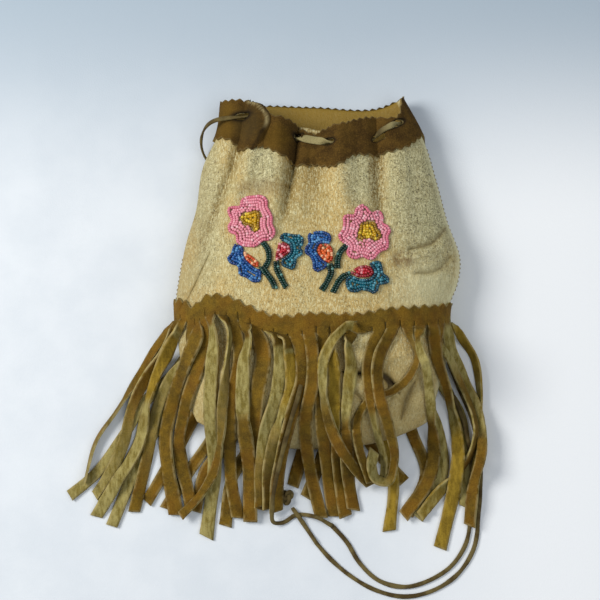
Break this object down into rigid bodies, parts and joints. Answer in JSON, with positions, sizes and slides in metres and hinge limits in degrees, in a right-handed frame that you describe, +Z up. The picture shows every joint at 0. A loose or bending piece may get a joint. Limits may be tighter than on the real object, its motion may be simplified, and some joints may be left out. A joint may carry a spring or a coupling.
{
  "type": "beaded hide drawstring pouch",
  "caption": "Soft hide pouch lying on its back, with floral seed beadwork, a pinked suede collar, a long cut suede fringe and a leather drawstring.",
  "frame": {"origin": "centre of the pouch's box without its drawstring, on the ground it lies on", "axes": "+Y from the fringe towards the mouth, +Z up out of the beaded front, +X to the right seen from above"},
  "size_m": [0.2688, 0.3254, 0.056],
  "materials": {
    "hide": "brushed, unfinished hide",
    "suede": "dark napped suede",
    "fringe": "napped suede, pale cut edges",
    "lace": "worn lace, slight sheen",
    "thread": "waxed thread",
    "beads_pink": "glossy seed beads",
    "beads_yellow": "glossy seed beads",
    "beads_blue": "glossy seed beads",
    "beads_teal": "glossy seed beads",
    "beads_red": "glossy seed beads",
    "beads_orange": "glossy seed beads",
    "beads_green": "glossy seed beads"
  },
  "bodies": {
    "root": {"front_panel": "hide", "back_panel": "hide", "collar": "suede", "fringe_front": "fringe", "fringe_back": "fringe", "drawstring": "lace", "lace_knot": "lace", "rose_left_petals": "beads_pink", "rose_left_heart": "beads_yellow", "rose_right_petals": "beads_pink", "rose_right_heart": "beads_yellow", "bud_left_blue": "beads_blue", "bud_left_orange": "beads_orange", "bud_left_teal": "beads_teal", "bud_left_red": "beads_red", "bud_right_blue": "beads_blue", "bud_right_orange": "beads_orange", "bud_right_teal": "beads_teal", "bud_right_red": "beads_red", "stem_left_1": "beads_green", "stem_left_2": "beads_green", "stem_left_3": "beads_green", "stem_right_1": "beads_green", "stem_right_2": "beads_green", "stem_right_3": "beads_green", "seam_thread_left": "thread", "seam_thread_right": "thread"}
  },
  "joints": []
}
